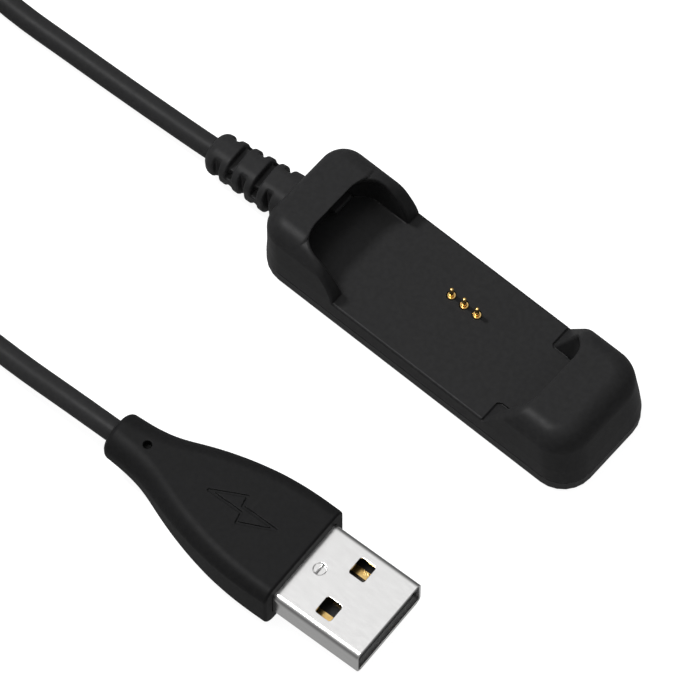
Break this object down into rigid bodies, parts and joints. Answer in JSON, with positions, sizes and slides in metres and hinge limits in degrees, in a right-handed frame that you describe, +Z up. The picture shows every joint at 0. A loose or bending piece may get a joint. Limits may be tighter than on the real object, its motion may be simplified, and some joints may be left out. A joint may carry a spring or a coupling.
{
  "type": "fitness tracker charging cable",
  "caption": "USB charging lead with a clip-in cradle for a small fitness tracker, sprung gold contacts and a moulded USB-A plug.",
  "frame": {"origin": "on the ground under the middle of the cradle's box", "axes": "+X along the cradle from its cord end to its free end, +Y across the deck towards the contact pins, +Z up out of the deck"},
  "size_m": [0.1357, 0.0514, 0.0136],
  "materials": {
    "housing_black": "satin moulded ABS with soft edges",
    "base_black": "fine spark-eroded texture",
    "board_green": "solder-masked glass-fibre board",
    "contact_gold": "gold-plated brass",
    "spring_steel": "drawn spring wire",
    "grip_black": "matt moulded elastomer",
    "jacket_black": "smooth extruded elastomer with a soft sheen",
    "shell_nickel": "nickel-plated folded sheet steel",
    "insulator_black": "glass-filled moulding",
    "inner_mould_white": "natural polyethylene",
    "tie_black": "coated wire band",
    "wire_red": "smooth insulation",
    "wire_white": "smooth insulation",
    "wire_black": "smooth insulation"
  },
  "bodies": {
    "cradle": {"base_cover": "base_black", "coil_tie": "tie_black", "contact_board": "board_green", "cord_coil": "jacket_black", "cord_cradle_side": "jacket_black", "cord_plug_side": "jacket_black", "cradle_housing": "housing_black", "cradle_strain_relief": "jacket_black", "cradle_wire_black": "wire_black", "cradle_wire_red": "wire_red", "cradle_wire_white": "wire_white", "pin_barrel_1": "contact_gold", "pin_barrel_2": "contact_gold", "pin_barrel_3": "contact_gold", "pin_spring_1": "spring_steel", "pin_spring_2": "spring_steel", "pin_spring_3": "spring_steel", "plug_contact_1": "contact_gold", "plug_contact_2": "contact_gold", "plug_contact_3": "contact_gold", "plug_contact_4": "contact_gold", "plug_inner_mould": "inner_mould_white", "plug_insulator": "insulator_black", "plug_overmould": "grip_black", "plug_shell": "shell_nickel", "plug_wire_black": "wire_black", "plug_wire_red": "wire_red", "plug_wire_white": "wire_white"},
    "plunger_1": {"pin_plunger_1": "contact_gold"},
    "plunger_2": {"pin_plunger_2": "contact_gold"},
    "plunger_3": {"pin_plunger_3": "contact_gold"}
  },
  "joints": [
    {"name": "pin_1_press", "type": "slide", "parent": "cradle", "child": "plunger_1", "axis": [0, 0, -1], "range_m": [0, 0.001], "stiffness_N_per_m": 450, "deforming": ["pin_spring_1"]},
    {"name": "pin_2_press", "type": "slide", "parent": "cradle", "child": "plunger_2", "axis": [0, 0, -1], "range_m": [0, 0.001], "stiffness_N_per_m": 450, "deforming": ["pin_spring_2"]},
    {"name": "pin_3_press", "type": "slide", "parent": "cradle", "child": "plunger_3", "axis": [0, 0, -1], "range_m": [0, 0.001], "stiffness_N_per_m": 450, "deforming": ["pin_spring_3"]}
  ]
}
